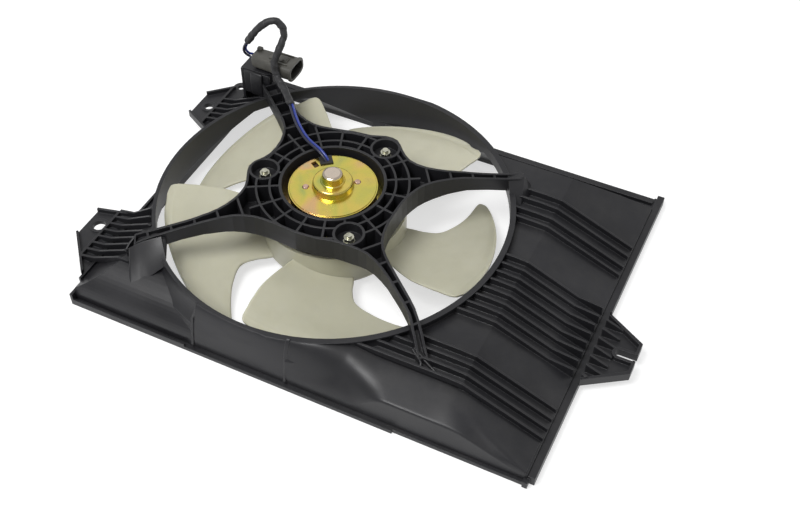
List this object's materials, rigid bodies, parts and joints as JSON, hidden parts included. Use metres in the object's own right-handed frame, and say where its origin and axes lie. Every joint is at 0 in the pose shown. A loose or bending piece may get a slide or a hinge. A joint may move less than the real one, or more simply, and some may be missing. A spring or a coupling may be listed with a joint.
{
  "type": "condenser fan",
  "caption": "Ducted axial cooling fan in a shallow moulded rectangular shroud, with a brushed motor on a ribbed spider, sickle blades, bolt ears and a plug lead.",
  "frame": {"origin": "fan axis at the plane of the shroud's front rim, the face that meets the condenser", "axes": "+Z along the fan axis to the motor side; +Y up the shroud towards the two upper ears; +X across the shroud towards the plug"},
  "size_m": [0.324, 0.4675, 0.1212],
  "materials": {
    "shroud_plastic": "satin moulded black polypropylene",
    "fan_plastic": "natural off-white polypropylene",
    "zinc_yellow": "yellow passivated zinc",
    "zinc_clear": "bright zinc",
    "steel": "ground steel",
    "can_steel": "black painted steel",
    "ferrite": "dull sintered ferrite",
    "laminations": "stacked steel sheet",
    "copper": "enamelled copper wire",
    "bronze": "sintered bronze",
    "phenolic": "brown phenolic",
    "carbon": "pressed carbon",
    "rubber_black": "moulded rubber",
    "wire_blue": "blue wire insulation",
    "wire_black": "black wire insulation",
    "tape": "wound black tape",
    "plug_plastic": "grey brown plug plastic",
    "tin": "tinned terminal",
    "seal_rubber": "silicone seal"
  },
  "bodies": {
    "housing": {"shroud_panel": "shroud_plastic", "shroud_rim": "shroud_plastic", "ear_upper_a": "shroud_plastic", "ear_upper_b": "shroud_plastic", "ear_lower": "shroud_plastic", "motor_mount": "shroud_plastic", "connector_bracket": "shroud_plastic", "motor_can": "can_steel", "motor_flange": "zinc_yellow", "magnets": "ferrite", "bearing_front": "bronze", "bearing_rear": "bronze", "brush_holder": "phenolic", "brushes": "carbon", "brush_springs": "steel", "end_cap": "zinc_yellow", "cap_rivets": "zinc_yellow", "grommet": "rubber_black", "studs": "zinc_yellow", "stud_nuts": "zinc_yellow", "spring_washers": "zinc_yellow", "lead_blue": "wire_blue", "lead_black": "wire_black", "lead_sleeve": "tape", "connector_housing": "plug_plastic", "terminals": "tin", "wire_seal": "seal_rubber"},
    "rotor": {"shaft": "steel", "armature_core": "laminations", "windings": "copper", "commutator": "copper", "thrust_washers": "phenolic", "fan_hub": "fan_plastic", "fan_blades": "fan_plastic", "hub_insert": "zinc_clear", "fan_nut": "zinc_clear", "fan_washer": "zinc_clear"}
  },
  "joints": [
    {"name": "fan_spin", "type": "hinge", "parent": "housing", "child": "rotor", "pos_m": [0, 0, 0.03], "axis": [0, 0, 1], "continuous": true}
  ]
}
